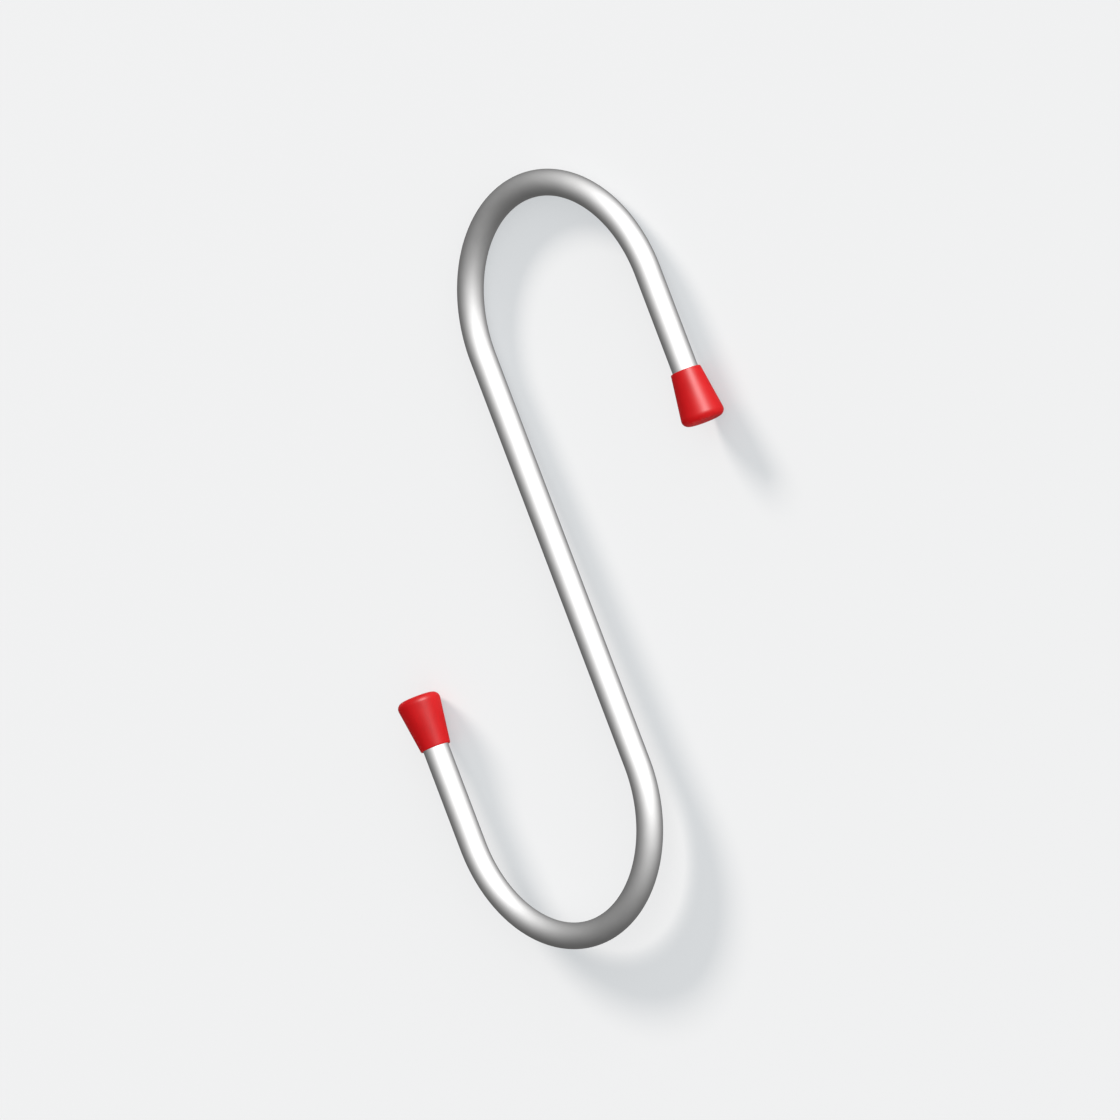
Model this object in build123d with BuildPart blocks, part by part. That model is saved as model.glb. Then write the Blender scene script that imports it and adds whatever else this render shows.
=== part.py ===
from build123d import *
import os
from math import asin, degrees

# Bucket hook: one round steel bar bent into an S, with a flared push-on cap on each end.
#
# The hook lies on a level surface as it comes to rest: on the rims of both caps and on the crown of its
# upper bend, so its own plane leans a little about the line through the two rims. Millimetres.
#   X  across the hook, from the lower arm to the upper arm
#   Y  along the shank, from the lower bend to the upper bend
#   Z  up from the surface
# The origin is on the surface, under the middle of the shank. Half a turn about the middle of the hook,
# in its own plane, brings it onto itself.

# Bar
bar_diameter = 6.0
bar_end_chamfer = 0.6
bend_radius = 30.0  # of both bends, to the middle of the bar
shank_length = 97.5  # straight stretch between the bends
arm_length = 23.8  # straight stretch of each arm, from its bend to the mouth of its cap

# Caps
socket_depth = 9.5
socket_clearance = 0.02  # between the bar and the wall of the socket, on the radius
socket_corner_rounding = 0.4
cap_mouth_wall = 0.48
cap_mouth_rounding = 0.2
cap_flare = 1.7  # how much wider the radius is where the flare would meet the closed end
cap_end_wall = 2.5  # from the bottom of the socket to the edge of the closed end
cap_end_crown = 0.2  # how far the middle of the closed end stands out past its edge
cap_rim_rounding = 1.5

bar_radius = bar_diameter / 2
socket_radius = bar_radius + socket_clearance
cap_mouth_radius = socket_radius + cap_mouth_wall
cap_end_radius = cap_mouth_radius + cap_flare
cap_length = socket_depth + cap_end_wall  # before the rim is rounded

# Half section of a cap: its axis is Y, its mouth is at the origin and its closed end is up
with BuildSketch() as cap_section:
    with BuildLine():
        crown = TangentArc(
            (0, cap_length + cap_end_crown), (cap_end_radius, cap_length), tangent=(1, 0)
        )
        Polyline(
            crown @ 1,
            (cap_mouth_radius, 0),
            (socket_radius, 0),
            (socket_radius, socket_depth),
            (0, socket_depth),
            crown @ 0,
        )
    make_face()
    corners = cap_section.vertices()
    fillet(corners.sort_by(Axis.X)[-1], radius=cap_rim_rounding)
    fillet(corners.group_by(Axis.Y)[0], radius=cap_mouth_rounding)
    fillet(corners.group_by(Axis.Y)[1].sort_by(Axis.X)[-1], radius=socket_corner_rounding)
rim = cap_section.edges().filter_by(GeomType.CIRCLE).sort_by(Axis.X)[-1].arc_center
rim_radius = rim.X + cap_rim_rounding  # at the widest ring of the cap

# Layout in the hook's own plane, measured from its middle
arm_offset = 2 * bend_radius
bend_height = shank_length / 2
mouth_height = bend_height - arm_length
bar_end_height = mouth_height - socket_depth
rim_height = mouth_height - rim.Y

# Lean at rest: the line through both rims is level, and the crown of the upper bend is on the surface
rim_line = Vector(arm_offset, rim_height)
bend_centre = Vector(bend_radius, bend_height)
crown_distance = rim_line.normalized().cross(bend_centre).Z + bend_radius  # from the rim line
rest_lean = degrees(asin((rim_radius - bar_radius) / crown_distance))
middle = Location((0, 0, rim_radius), rim_line, -rest_lean)


# The bar: arm, bend, shank, bend and arm in one sweep
with BuildPart() as hook_rod:
    with BuildLine(Plane(middle)):
        lower_arm = Line((-arm_offset, -bar_end_height), (-arm_offset, -bend_height))
        lower_bend = TangentArc(lower_arm @ 1, (0, -bend_height), tangent=lower_arm % 1)
        shank = Line(lower_bend @ 1, (0, bend_height))
        upper_bend = TangentArc(shank @ 1, (arm_offset, bend_height), tangent=shank % 1)
        Line(upper_bend @ 1, (arm_offset, bar_end_height))
    with BuildSketch(Plane(origin=lower_arm @ 0, z_dir=lower_arm % 0)):
        Circle(bar_radius)
    sweep()
    chamfer(hook_rod.faces().filter_by(GeomType.PLANE).edges(), length=bar_end_chamfer)


def end_cap(mouth):
    """A cap turned from its half section, at the mouth's place: its closed end is along the plane's Y."""
    with BuildPart() as cap:
        with BuildSketch(mouth):
            add(cap_section.sketch)
        revolve(axis=Axis(mouth.origin, mouth.y_dir))
    return cap.part


# The caps: one pushed on each arm, half a turn apart
lower_mouth = Location((-arm_offset, -mouth_height, 0))
half_turn = Location((0, 0, 0), (0, 0, 180))
pieces = {
    "hook_rod": hook_rod.part,
    "lower_end_cap": end_cap(Plane(middle * lower_mouth)),
    "upper_end_cap": end_cap(Plane(middle * half_turn * lower_mouth)),
}

os.makedirs("parts", exist_ok=True)
for name, piece in pieces.items():
    piece.label = name
    export_step(piece, f"parts/{name}.step")
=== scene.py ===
"""Bucket hook: a round steel bar bent into an S, with a red push-on cap on each end."""

from math import asin, atan2, cos, hypot, pi, radians, sin, tan

import bmesh
import bpy
from bpy.props import FloatProperty, FloatVectorProperty, IntProperty, PointerProperty
from mathutils import Matrix, Vector


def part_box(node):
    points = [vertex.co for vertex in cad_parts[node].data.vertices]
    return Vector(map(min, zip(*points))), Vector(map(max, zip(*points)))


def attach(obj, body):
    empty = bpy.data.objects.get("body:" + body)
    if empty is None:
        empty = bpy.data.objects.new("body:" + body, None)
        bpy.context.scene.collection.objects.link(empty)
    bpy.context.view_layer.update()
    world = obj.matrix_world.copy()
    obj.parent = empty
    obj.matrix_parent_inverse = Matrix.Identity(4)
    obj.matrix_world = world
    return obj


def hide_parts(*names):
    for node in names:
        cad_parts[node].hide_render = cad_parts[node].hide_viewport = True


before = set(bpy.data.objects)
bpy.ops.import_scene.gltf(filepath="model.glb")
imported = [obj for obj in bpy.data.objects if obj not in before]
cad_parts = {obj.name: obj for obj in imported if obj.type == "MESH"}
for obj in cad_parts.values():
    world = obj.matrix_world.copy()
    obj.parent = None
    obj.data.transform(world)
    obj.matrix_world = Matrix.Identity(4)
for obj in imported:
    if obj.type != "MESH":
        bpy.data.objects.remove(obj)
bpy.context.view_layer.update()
bar_low, bar_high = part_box("hook_rod")

# How far each arm is turned in the hook's own plane, from the lower one
ARMS = {"lower": 0.0, "upper": pi}

bl_info = {
    "name": "Bucket hook",
    "version": (1, 0, 0),
    "blender": (4, 5, 0),
    "location": "View3D > Sidebar > Hook",
    "description": "A bent steel bucket hook with its end caps, and a studio to show it in",
    "category": "Add Mesh",
}


def size(name, description, default):
    return FloatProperty(name=name, description=description, default=default, unit="LENGTH", precision=5)


def bearing(name, description, degrees):
    return FloatProperty(name=name, description=description, default=radians(degrees), subtype="ANGLE")


def amount(name, description, default, high=1.0):
    return FloatProperty(name=name, description=description, default=default, min=0, max=high)


def tint(name, description, default):
    return FloatVectorProperty(
        name=name, description=description, default=default, subtype="COLOR", min=0, max=1
    )


class HookSizes(bpy.types.PropertyGroup):
    """The sizes that the hook is made from."""

    bar_diameter: size("Bar diameter", "Thickness of the round bar", 0.006)
    bar_end_chamfer: size("Bar end chamfer", "Taken off each sawn end of the bar", 0.0006)
    bend_radius: size("Bend radius", "Of both bends, to the middle of the bar", 0.030)
    shank_length: size("Shank length", "Straight stretch between the bends", 0.0975)
    arm_length: size("Arm length", "Straight stretch from a bend to its cap", 0.0238)
    socket_depth: size("Socket depth", "How far the bar goes into a cap", 0.0095)
    socket_clearance: size("Socket clearance", "Between bar and socket, on the radius", 0.00002)
    cap_mouth_wall: size("Mouth wall", "Thickness of the vinyl at the mouth", 0.00048)
    cap_mouth_rounding: size("Mouth rounding", "Radius of both edges of the mouth", 0.0002)
    cap_flare: size("Flare", "How much wider the radius is at the closed end", 0.0017)
    cap_end_wall: size("End wall", "From the bottom of the socket to the closed end", 0.0025)
    cap_end_crown: size("End crown", "How far the middle of the closed end stands out", 0.0002)
    cap_rim_rounding: size("Rim rounding", "Radius between the flare and the closed end", 0.0015)
    sides: IntProperty(name="Sides", description="Sides round the bar and the caps", default=96, min=24)


class HookFinish(bpy.types.PropertyGroup):
    """The colours and finishes of the hook."""

    steel_colour: tint("Steel", "Colour of the bar", (0.86, 0.855, 0.85))
    steel_roughness: amount("Steel roughness", "0 is a mirror, 1 is chalk", 0.33)
    drawing_lines: size("Drawing lines", "Depth of the fine lines along the bar", 0.000002)
    cap_colour: tint("Cap", "Colour of the caps", (0.57, 0.004, 0.006))
    cap_roughness: amount("Cap roughness", "0 is a mirror, 1 is chalk", 0.46)
    cap_shine: amount("Cap shine", "0 has no shine, 0.5 is hard plastic", 0.1)
    cap_grain: size("Cap grain", "Depth of the fine moulded grain", 0.000004)


class HookStudio(bpy.types.PropertyGroup):
    """The floor, the light and the camera. The view's angles are in the hook's own plane."""

    view_azimuth: bearing("View azimuth", "From the foot of the shank, round to the right", 81.54)
    view_elevation: bearing("View elevation", "Above the hook's own plane", 42.88)
    view_roll: bearing("View roll", "Turn of the camera about its own axis", -105.02)
    view_width: size("View width", "Width that the camera takes in", 0.25039)
    floor_colour: tint("Floor", "Colour of the floor and of the wall behind it", (0.88, 0.885, 0.89))
    floor_glow: tint("Floor glow", "What the camera sees besides the lit floor", (0.782, 0.811, 0.834))
    glow_strength: amount("Glow strength", "Of the floor's glow", 0.84)
    shadow_share: amount("Shadow share", "Share of the floor's look that is lit, not glow", 0.25)
    key_azimuth: bearing("Key azimuth", "Direction of the brightest part of the room", 23)
    key_elevation: bearing("Key elevation", "Height of the brightest part of the room", 15)
    room_level: amount("Room level", "Light at right angles to the key", 0.5, high=10)
    room_contrast: amount("Room contrast", "How fast the light falls away from the key", 1.47, high=10)
    shadow_azimuth: bearing("Shadow lamp azimuth", "Direction of the lamp that casts the shadow", 109)
    shadow_elevation: bearing("Shadow lamp elevation", "Height of the lamp that casts the shadow", 22)
    shadow_watts: amount("Shadow lamp watts", "Power of the lamp that casts the shadow", 22500, high=1e6)
    shadow_colour: tint("Shadow lamp colour", "Warm, so that its shadow is cool", (1.0, 0.92, 0.86))
    streak_watts: amount("Streak lamp watts", "Power of the lamp in the caps' shine", 300, high=1e6)


class HookLayout:
    """Places worked out from the sizes: the hook's own plane has its shank along Y."""

    def __init__(self, sizes):
        self.bar_radius = sizes.bar_diameter / 2
        self.arm_offset = 2 * sizes.bend_radius
        self.bend_height = sizes.shank_length / 2
        self.mouth_height = self.bend_height - sizes.arm_length
        self.bar_end_height = self.mouth_height - sizes.socket_depth
        self.profile = cap_profile(sizes)
        rim = max(self.profile, key=lambda point: point[0])
        rim_line = Vector((self.arm_offset, self.mouth_height - rim[1], 0))
        bend_centre = Vector((sizes.bend_radius, self.bend_height, 0))
        crown_distance = rim_line.normalized().cross(bend_centre).z + sizes.bend_radius
        lean = asin((rim[0] - self.bar_radius) / crown_distance)
        middle = Vector((0, 0, (bar_low.z + bar_high.z) / 2))
        self.plane = Matrix.Translation(middle) @ Matrix.Rotation(-lean, 4, rim_line)


def arc(centre, radius, start, end, steps):
    """Points on an arc, in a plane, with both of its ends."""
    turns = [start + (end - start) * i / steps for i in range(steps + 1)]
    return [(centre[0] + radius * cos(turn), centre[1] + radius * sin(turn)) for turn in turns]


def cap_profile(sizes):
    """Half section of a cap, as points (radius, distance from the mouth), from the pole of the closed end."""
    rounding, lip = sizes.cap_rim_rounding, sizes.cap_mouth_rounding
    socket = sizes.bar_diameter / 2 + sizes.socket_clearance
    mouth = socket + sizes.cap_mouth_wall
    end = mouth + sizes.cap_flare
    length = sizes.socket_depth + sizes.cap_end_wall
    flare = atan2(sizes.cap_flare, length)

    crown_radius = (end**2 + sizes.cap_end_crown**2) / (2 * sizes.cap_end_crown)
    crown_centre = (0, length + sizes.cap_end_crown - crown_radius)
    rim = rim_centre(mouth, flare, crown_centre[1], crown_radius, rounding, length)
    meeting = atan2(rim[1] - crown_centre[1], rim[0])

    lip_centre = (mouth + lip * tan(flare) - lip / cos(flare), lip)
    crown_steps, rim_steps, flare_steps, lip_steps = 12, 18, 24, 6
    profile = arc(crown_centre, crown_radius, pi / 2, meeting, crown_steps)
    profile += arc(rim, rounding, meeting, -flare, rim_steps)[1:]
    outer_lip = arc(lip_centre, lip, -flare, -pi / 2, lip_steps)
    top, foot = Vector(profile[-1]), Vector(outer_lip[0])
    profile += [tuple(top.lerp(foot, i / flare_steps)) for i in range(1, flare_steps)]
    profile += outer_lip
    profile += arc((socket + lip, lip), lip, -pi / 2, -pi, lip_steps)
    profile += [(socket, sizes.socket_depth), (0, sizes.socket_depth)]
    return profile


def rim_centre(mouth, flare, crown_height, crown_radius, rounding, high):
    """Centre of the arc that touches the flare and the crown, found by halving the stretch it lies in."""
    low = high - 3 * rounding
    halvings = 60
    for _ in range(halvings):
        middle = (low + high) / 2
        radius = mouth + middle * tan(flare) - rounding / cos(flare)
        if hypot(radius, middle - crown_height) > crown_radius - rounding:
            high = middle
        else:
            low = middle
    return radius, middle


def bar_stations(sizes, layout):
    """(middle of the bar, its direction, distance along it) from the lower end to the upper one."""
    straight_step, bend_steps = 0.002, 120
    stations = []
    along = 0.0

    def straight(x, start, end):
        nonlocal along
        length, way = abs(end - start), Vector((0, 1 if end > start else -1, 0))
        steps = round(length / straight_step)
        for i in range(steps):
            step = length * i / steps
            stations.append((Vector((x, start, 0)) + way * step, way, along + step))
        along += length

    def bend(centre, turn):
        nonlocal along
        for i in range(bend_steps):
            angle = pi + turn * i / bend_steps
            out = Vector((cos(angle), sin(angle), 0))
            way = Vector((-out.y, out.x, 0)) * (1 if turn > 0 else -1)
            bent = along + abs(angle - pi) * sizes.bend_radius
            stations.append((centre + out * sizes.bend_radius, way, bent))
        along += abs(turn) * sizes.bend_radius

    straight(-layout.arm_offset, -layout.bar_end_height, -layout.bend_height)
    bend(Vector((-sizes.bend_radius, -layout.bend_height, 0)), pi)
    straight(0, -layout.bend_height, layout.bend_height)
    bend(Vector((sizes.bend_radius, layout.bend_height, 0)), -pi)
    straight(layout.arm_offset, layout.bend_height, layout.bar_end_height)
    stations.append((Vector((layout.arm_offset, layout.bar_end_height, 0)), Vector((0, -1, 0)), along))
    return stations


def new_piece(name, mesh, plane, material, node):
    """Puts a finished mesh in the scene, in the hook's place, to stand for its node."""
    mesh.transform(plane)
    mesh.update()
    piece = bpy.data.objects.new(name, mesh)
    bpy.context.collection.objects.link(piece)
    mesh.materials.append(material)
    for face in mesh.polygons:
        face.use_smooth = True
    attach(piece, "root")
    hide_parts(node)
    piece.visible_glossy = False  # the pieces mirror the room, not each other


def bar_mesh(sizes, layout):
    """The bar: a ring of vertices at each station, drawn in at both ends for the chamfers, and closed."""
    stations = bar_stations(sizes, layout)
    chamfer = sizes.bar_end_chamfer
    radius = layout.bar_radius
    first, last = stations[0], stations[-1]
    rings = [(first[0], first[1], 0.0, radius - chamfer)]
    rings.append((first[0] + first[1] * chamfer, first[1], chamfer, radius))
    rings += [(middle, way, along, radius) for middle, way, along in stations[1:-1]]
    rings.append((last[0] - last[1] * chamfer, last[1], last[2] - chamfer, radius))
    rings.append((last[0], last[1], last[2], radius - chamfer))

    work = bmesh.new()
    straightened = work.verts.layers.float_vector.new("straight_bar")
    up = Vector((0, 0, 1))
    loops = []
    for middle, way, along, ring_radius in rings:
        across = up.cross(way)
        loop = []
        for i in range(sizes.sides):
            turn = 2 * pi * i / sizes.sides
            vertex = work.verts.new(middle + (across * cos(turn) + up * sin(turn)) * ring_radius)
            vertex[straightened] = Vector((along, ring_radius * cos(turn), ring_radius * sin(turn)))
            loop.append(vertex)
        loops.append(loop)
    for here, there in zip(loops, loops[1:]):
        for i in range(sizes.sides):
            j = (i + 1) % sizes.sides
            work.faces.new((here[i], here[j], there[j], there[i]))
    work.faces.new(loops[0])
    work.faces.new(loops[-1])
    bmesh.ops.recalc_face_normals(work, faces=work.faces)
    mesh = bpy.data.meshes.new("bent_bar")
    work.to_mesh(mesh)
    work.free()
    return mesh


def cap_mesh(name, sizes, layout, turned):
    """A cap turned from its half section, on the lower arm or, after half a turn, on the upper one."""
    work = bmesh.new()
    moulded = work.verts.layers.float_vector.new("moulding")
    mouth = Vector((-layout.arm_offset, -layout.mouth_height, 0))
    loops = []
    for radius, along in layout.profile:
        points = 1 if radius < 1e-9 else sizes.sides
        loop = []
        for i in range(points):
            turn = 2 * pi * i / sizes.sides
            offset = Vector((radius * cos(turn), along, radius * sin(turn)))
            vertex = work.verts.new(mouth + offset)
            vertex[moulded] = offset
            loop.append(vertex)
        loops.append(loop)
    for here, there in zip(loops, loops[1:]):
        for i in range(sizes.sides):
            j = (i + 1) % sizes.sides
            corners = [here[i % len(here)], here[j % len(here)], there[j % len(there)], there[i % len(there)]]
            work.faces.new(list(dict.fromkeys(corners)))
    bmesh.ops.recalc_face_normals(work, faces=work.faces)
    mesh = bpy.data.meshes.new(name)
    work.to_mesh(mesh)
    work.free()
    mesh.transform(Matrix.Rotation(turned, 4, "Z"))
    return mesh


class Nodes:
    """A short way to add and join the nodes of one material or world."""

    def __init__(self, tree):
        self.tree = tree
        tree.nodes.clear()

    def add(self, kind, settings=(), **inputs):
        node = self.tree.nodes.new(kind)
        for name, value in dict(settings).items():
            setattr(node, name, value)
        for name, value in inputs.items():
            self.join(value, node, name.replace("_", " "))
        return node

    def math(self, operation, first, second=0.0):
        return self.add("ShaderNodeMath", {"operation": operation}, **{"0": first, "1": second}).outputs[0]

    def mix(self, share, first, second):
        """The first shader where the share is 0, and the second where it is 1."""
        shaders = {"1": first.outputs[0], "2": second.outputs[0]}
        return self.add("ShaderNodeMixShader", **{"0": share}, **shaders)

    def join(self, value, node, name):
        socket = node.inputs[int(name) if name.isdigit() else name]
        if isinstance(value, bpy.types.NodeSocket):
            self.tree.links.new(value, socket)
        else:
            socket.default_value = value


def new_material(name):
    """A material with an empty node tree, and the way to fill it."""
    material = bpy.data.materials.new(name)
    material.use_nodes = True
    return material, Nodes(material.node_tree)


def stretched_noise(nodes, attribute, stretch, scale, detail):
    """Noise in the coordinates that a mesh carries, drawn out along an axis where stretch is below 1."""
    place = nodes.add("ShaderNodeAttribute", {"attribute_name": attribute})
    mapping = nodes.add("ShaderNodeMapping", Vector=place.outputs["Vector"], Scale=stretch)
    noise = nodes.add(
        "ShaderNodeTexNoise", Vector=mapping.outputs["Vector"], Scale=scale, Detail=detail, Roughness=0.6
    )
    return noise.outputs["Fac"]


def between(nodes, share, low, high):
    """A share of 0.3 to 0.7, as noise gives, spread over low to high."""
    spread = nodes.add(
        "ShaderNodeMapRange", Value=share, From_Min=0.3, From_Max=0.7, To_Min=low, To_Max=high
    )
    return spread.outputs["Result"]


def mottled(nodes, share, bright, depth):
    """A colour that goes a little darker, by depth, where the share is low."""
    deep = [channel * (1 - depth) for channel in bright]
    colours = {"6": (*deep, 1), "7": (*bright, 1)}
    mix = nodes.add("ShaderNodeMix", {"data_type": "RGBA"}, **{"0": between(nodes, share, 0, 1)}, **colours)
    return mix.outputs[2]


def steel_material(finish):
    """Bright drawn steel: fine lines along the bar, faint clouds in the plating, and a satin shine."""
    material, nodes = new_material("drawn_steel")
    lines = stretched_noise(nodes, "straight_bar", (0.02, 1, 1), 9000, 3)
    clouds = stretched_noise(nodes, "straight_bar", (0.5, 1, 1), 300, 4)
    shade = nodes.math("MULTIPLY", lines, clouds)
    rough = finish.steel_roughness
    bump = nodes.add("ShaderNodeBump", Height=lines, Distance=finish.drawing_lines, Strength=0.6)
    shader = nodes.add(
        "ShaderNodeBsdfPrincipled",
        Base_Color=mottled(nodes, clouds, finish.steel_colour, 0.07),
        Metallic=1.0,
        Roughness=between(nodes, shade, rough - 0.05, rough + 0.04),
        Normal=bump.outputs["Normal"],
    )
    nodes.add("ShaderNodeOutputMaterial", Surface=shader.outputs[0])
    return material


def vinyl_material(finish):
    """Soft red vinyl with a satin skin and a fine moulded grain."""
    material, nodes = new_material("red_vinyl")
    grain = stretched_noise(nodes, "moulding", (1, 1, 1), 6000, 3)
    flow = stretched_noise(nodes, "moulding", (1, 0.4, 1), 350, 3)
    rough = finish.cap_roughness
    bump = nodes.add("ShaderNodeBump", Height=grain, Distance=finish.cap_grain, Strength=0.6)
    shader = nodes.add(
        "ShaderNodeBsdfPrincipled",
        Base_Color=mottled(nodes, flow, finish.cap_colour, 0.12),
        Roughness=between(nodes, flow, rough - 0.03, rough + 0.03),
        Specular_IOR_Level=finish.cap_shine,
        Normal=bump.outputs["Normal"],
    )
    nodes.add("ShaderNodeOutputMaterial", Surface=shader.outputs[0])
    return material


class HOOK_OT_bend_bar(bpy.types.Operator):
    """Bend the steel bar into an S"""

    bl_idname = "hook.bend_bar"
    bl_label = "Bend the bar"

    def execute(self, context):
        sizes = context.scene.hook_sizes
        layout = HookLayout(sizes)
        material = steel_material(context.scene.hook_finish)
        new_piece("bent_bar", bar_mesh(sizes, layout), layout.plane, material, "hook_rod")
        return {"FINISHED"}


class HOOK_OT_push_on_caps(bpy.types.Operator):
    """Push a cap on each end of the bar"""

    bl_idname = "hook.push_on_caps"
    bl_label = "Push on the caps"

    def execute(self, context):
        sizes = context.scene.hook_sizes
        layout = HookLayout(sizes)
        material = vinyl_material(context.scene.hook_finish)
        for side, turned in ARMS.items():
            mesh = cap_mesh(f"{side}_vinyl_cap", sizes, layout, turned)
            new_piece(f"{side}_vinyl_cap", mesh, layout.plane, material, f"{side}_end_cap")
        return {"FINISHED"}


def direction(azimuth, elevation):
    """Azimuth 0 is +X and a quarter turn is +Y."""
    return Vector((cos(azimuth) * cos(elevation), sin(azimuth) * cos(elevation), sin(elevation)))


def room_light(nodes, studio, way):
    """How bright the room is along a direction: brightest towards the key, and falling away from it."""
    key = direction(studio.key_azimuth, studio.key_elevation)
    towards = nodes.add("ShaderNodeVectorMath", {"operation": "DOT_PRODUCT"}, **{"0": way, "1": key})
    power = nodes.math("MULTIPLY", towards.outputs["Value"], studio.room_contrast)
    return nodes.math("MULTIPLY", nodes.math("EXPONENT", power), studio.room_level)


def floor_material(studio):
    """A pale floor, which glows to the camera and keeps its shadows, and which the metal sees as room."""
    material, nodes = new_material("pale_floor")
    path = nodes.add("ShaderNodeLightPath").outputs
    matt = nodes.add("ShaderNodeBsdfDiffuse", Color=(*studio.floor_colour, 1))
    glow = nodes.add("ShaderNodeEmission", Color=(*studio.floor_glow, 1), Strength=studio.glow_strength)
    seen = nodes.math("MULTIPLY", path["Is Camera Ray"], 1 - studio.shadow_share)
    pale = nodes.mix(seen, matt, glow)
    incoming = nodes.add("ShaderNodeNewGeometry").outputs["Incoming"]
    away = nodes.add("ShaderNodeVectorMath", {"operation": "SCALE"}, Vector=incoming, Scale=-1.0)
    room = nodes.add("ShaderNodeEmission", Strength=room_light(nodes, studio, away.outputs["Vector"]))
    mirrored = nodes.math("MAXIMUM", path["Is Glossy Ray"], path["Is Transmission Ray"])
    nodes.add("ShaderNodeOutputMaterial", Surface=nodes.mix(mirrored, pale, room).outputs[0])
    return material


def room_world(studio):
    """A soft room, which the camera sees as a pale wall."""
    world = bpy.data.worlds.new("soft_room")
    world.use_nodes = True
    nodes = Nodes(world.node_tree)
    way = nodes.add("ShaderNodeTexCoord").outputs["Generated"]
    light = nodes.add("ShaderNodeBackground", Color=(1, 1, 1, 1), Strength=room_light(nodes, studio, way))
    wall = nodes.add("ShaderNodeBackground", Color=(*studio.floor_colour, 1), Strength=1.0)
    camera_ray = nodes.add("ShaderNodeLightPath").outputs["Is Camera Ray"]
    nodes.add("ShaderNodeOutputWorld", Surface=nodes.mix(camera_ray, light, wall).outputs[0])
    return world


def lay_floor(studio):
    half = 6.0
    corners = [(-half, -half, 0), (half, -half, 0), (half, half, 0), (-half, half, 0)]
    mesh = bpy.data.meshes.new("floor")
    mesh.from_pydata(corners, [], [(0, 1, 2, 3)])
    mesh.materials.append(floor_material(studio))
    floor = bpy.data.objects.new("floor", mesh)
    bpy.context.collection.objects.link(floor)
    return floor


def hang_lamp(name, towards, away, width, height, lit):
    """A soft oval lamp, turned to the hook from afar, that lights the given objects only."""
    lamp = bpy.data.lights.new(name, "AREA")
    lamp.shape = "ELLIPSE"
    lamp.size, lamp.size_y = width, height
    holder = bpy.data.objects.new(name, lamp)
    facing = towards.to_track_quat("Z", "Y").to_matrix().to_4x4()
    holder.matrix_world = Matrix.Translation(towards * away) @ facing
    bpy.context.collection.objects.link(holder)
    holder.light_linking.receiver_collection = bpy.data.collections.new(name)
    for item in lit:
        holder.light_linking.receiver_collection.objects.link(item)
    return holder


def hang_shadow_lamp(studio, floor):
    """Lights the floor alone, so that the hook's shadow falls on it: far off, to light it evenly."""
    towards = direction(studio.shadow_azimuth, studio.shadow_elevation)
    holder = hang_lamp("shadow_lamp", towards, away=30, width=14, height=5.25, lit=[floor])
    holder.data.energy = studio.shadow_watts
    holder.data.color = studio.shadow_colour
    holder.visible_glossy = False


def hang_streak_lamp(studio, caps):
    """Lays a soft streak of shine along the caps."""
    towards = direction(studio.key_azimuth, studio.key_elevation)
    holder = hang_lamp("streak_lamp", towards, away=2, width=1.2, height=1.2, lit=caps)
    holder.data.energy = studio.streak_watts
    holder.visible_diffuse = False


def place_camera(studio, plane):
    """A long lens far away, so that the view is all but without perspective."""
    camera = bpy.data.cameras.new("camera")
    camera.sensor_width = 36
    camera.lens = 1100
    away = studio.view_width * camera.lens / camera.sensor_width
    camera.clip_end = 3 * away
    back = direction(studio.view_azimuth - pi / 2, studio.view_elevation)
    facing = back.to_track_quat("Z", "Y").to_matrix().to_4x4()
    turned = facing @ Matrix.Rotation(studio.view_roll, 4, "Z")
    holder = bpy.data.objects.new("camera", camera)
    holder.matrix_world = plane @ Matrix.Translation(back * away) @ turned
    bpy.context.collection.objects.link(holder)
    bpy.context.scene.camera = holder


class HOOK_OT_set_up_studio(bpy.types.Operator):
    """Lay the floor, light the hook and place the camera"""

    bl_idname = "hook.set_up_studio"
    bl_label = "Set up the studio"

    def execute(self, context):
        studio = context.scene.hook_studio
        hang_shadow_lamp(studio, lay_floor(studio))
        hang_streak_lamp(studio, [bpy.data.objects[f"{side}_vinyl_cap"] for side in ARMS])
        place_camera(studio, HookLayout(context.scene.hook_sizes).plane)
        context.scene.world = room_world(studio)
        context.scene.view_settings.view_transform = "Standard"
        return {"FINISHED"}


class HOOK_PT_panel(bpy.types.Panel):
    """Lists the hook's pieces, sizes and finishes"""

    bl_idname = "HOOK_PT_panel"
    bl_label = "Bucket hook"
    bl_space_type = "VIEW_3D"
    bl_region_type = "UI"
    bl_category = "Hook"

    def draw(self, context):
        for operator in OPERATORS:
            self.layout.operator(operator.bl_idname)
        for group in (context.scene.hook_sizes, context.scene.hook_finish, context.scene.hook_studio):
            box = self.layout.box()
            for name in group.__annotations__:
                box.prop(group, name)


GROUPS = {"hook_sizes": HookSizes, "hook_finish": HookFinish, "hook_studio": HookStudio}
OPERATORS = (HOOK_OT_bend_bar, HOOK_OT_push_on_caps, HOOK_OT_set_up_studio)


def register():
    for name, group in GROUPS.items():
        bpy.utils.register_class(group)
        setattr(bpy.types.Scene, name, PointerProperty(type=group))
    for item in (*OPERATORS, HOOK_PT_panel):
        bpy.utils.register_class(item)


def unregister():
    for item in (HOOK_PT_panel, *reversed(OPERATORS)):
        bpy.utils.unregister_class(item)
    for name, group in reversed(GROUPS.items()):
        delattr(bpy.types.Scene, name)
        bpy.utils.unregister_class(group)


def main():
    register()
    bpy.ops.hook.bend_bar()
    bpy.ops.hook.push_on_caps()
    bpy.ops.hook.set_up_studio()


if __name__ == "__main__":
    main()
